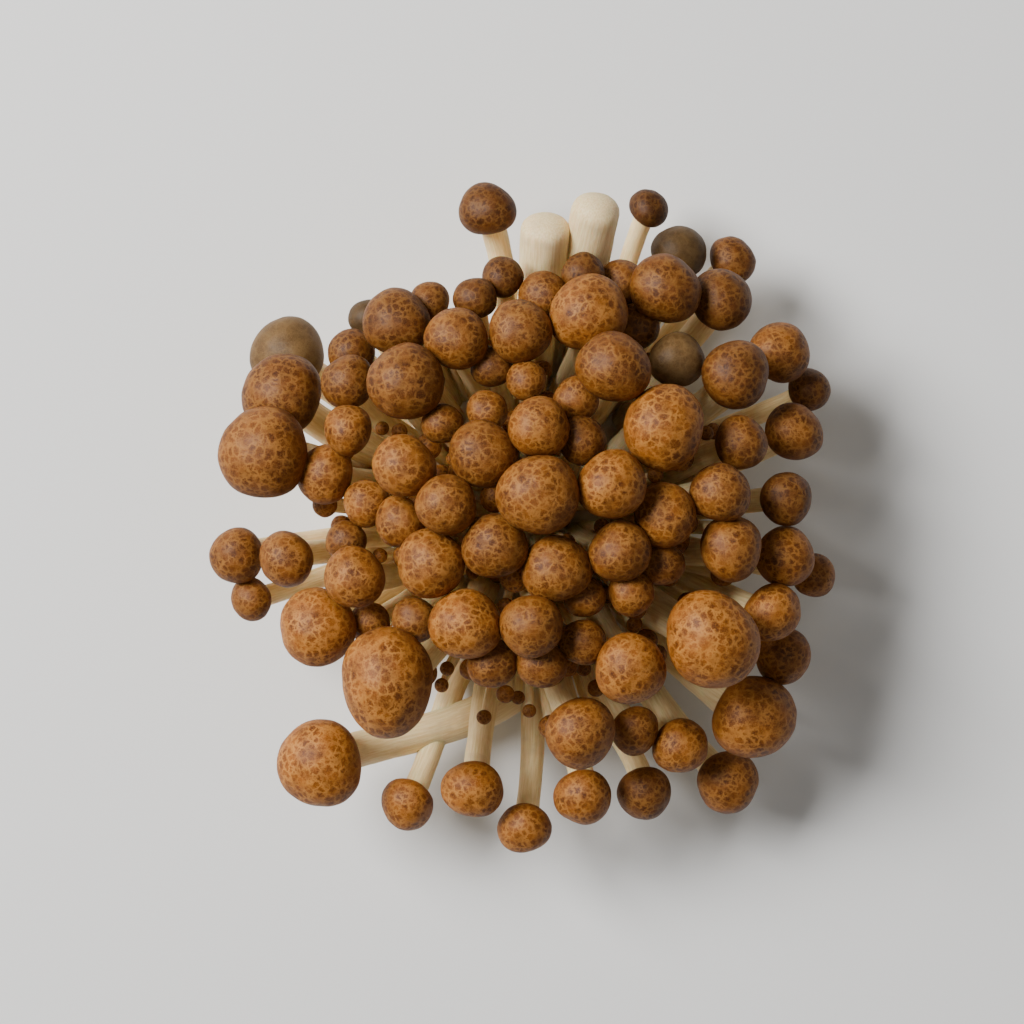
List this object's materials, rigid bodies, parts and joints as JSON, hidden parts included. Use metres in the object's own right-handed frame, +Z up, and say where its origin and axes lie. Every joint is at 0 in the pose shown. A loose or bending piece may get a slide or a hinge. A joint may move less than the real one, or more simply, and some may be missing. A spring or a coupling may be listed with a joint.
{
  "type": "beech mushroom cluster",
  "caption": "Cluster of small brown-capped mushrooms on pale curved stems that fan out from one trimmed base, standing on its flat cut underside.",
  "frame": {"origin": "centre of the flat cut face that the cluster stands on", "axes": "+Z up through the crown, +Y towards the side with the two bare stems, +X to the right seen from the side away from them"},
  "size_m": [0.1347, 0.1455, 0.0716],
  "materials": {
    "brown_cap_skin": "satin orange-brown skin marbled with darker cells in a paler net",
    "pale_cap_skin": "satin pale beige skin, smooth and barely marked",
    "mushroom_flesh": "matte cream flesh with fine lengthwise fibres"
  },
  "bodies": {
    "root": {"base_stems_and_gills": "mushroom_flesh", "caps_01": "brown_cap_skin", "caps_02": "brown_cap_skin", "caps_03": "brown_cap_skin", "caps_04": "brown_cap_skin", "caps_05": "brown_cap_skin", "caps_06": "brown_cap_skin", "caps_07": "brown_cap_skin", "caps_08": "brown_cap_skin", "caps_09": "brown_cap_skin", "caps_10": "brown_cap_skin", "caps_11": "brown_cap_skin", "caps_12": "brown_cap_skin", "caps_13": "brown_cap_skin", "caps_14": "brown_cap_skin", "caps_15": "brown_cap_skin", "caps_16": "brown_cap_skin", "caps_17": "brown_cap_skin", "caps_18": "brown_cap_skin", "caps_19": "brown_cap_skin", "caps_20": "brown_cap_skin", "caps_21": "brown_cap_skin", "caps_22": "brown_cap_skin", "caps_23": "brown_cap_skin", "caps_24": "brown_cap_skin", "caps_25": "brown_cap_skin", "caps_26": "brown_cap_skin", "caps_27": "brown_cap_skin", "caps_28": "brown_cap_skin", "caps_29": "brown_cap_skin", "caps_30": "brown_cap_skin", "caps_31": "brown_cap_skin", "caps_32": "brown_cap_skin", "caps_33": "brown_cap_skin", "caps_34": "brown_cap_skin", "caps_35": "brown_cap_skin", "caps_36": "brown_cap_skin", "caps_37": "brown_cap_skin", "caps_38": "brown_cap_skin", "caps_39": "brown_cap_skin", "caps_40": "brown_cap_skin", "caps_41": "brown_cap_skin", "caps_42": "brown_cap_skin", "caps_43": "brown_cap_skin", "caps_44": "brown_cap_skin", "caps_45": "brown_cap_skin", "caps_46": "brown_cap_skin", "caps_47": "brown_cap_skin", "caps_48": "brown_cap_skin", "caps_49": "brown_cap_skin", "caps_50": "brown_cap_skin", "caps_51": "brown_cap_skin", "caps_52": "brown_cap_skin", "caps_53": "brown_cap_skin", "caps_54": "brown_cap_skin", "caps_55": "brown_cap_skin", "pale_caps_01": "pale_cap_skin", "pale_caps_02": "pale_cap_skin", "pale_caps_03": "pale_cap_skin", "pale_caps_04": "pale_cap_skin"}
  },
  "joints": []
}
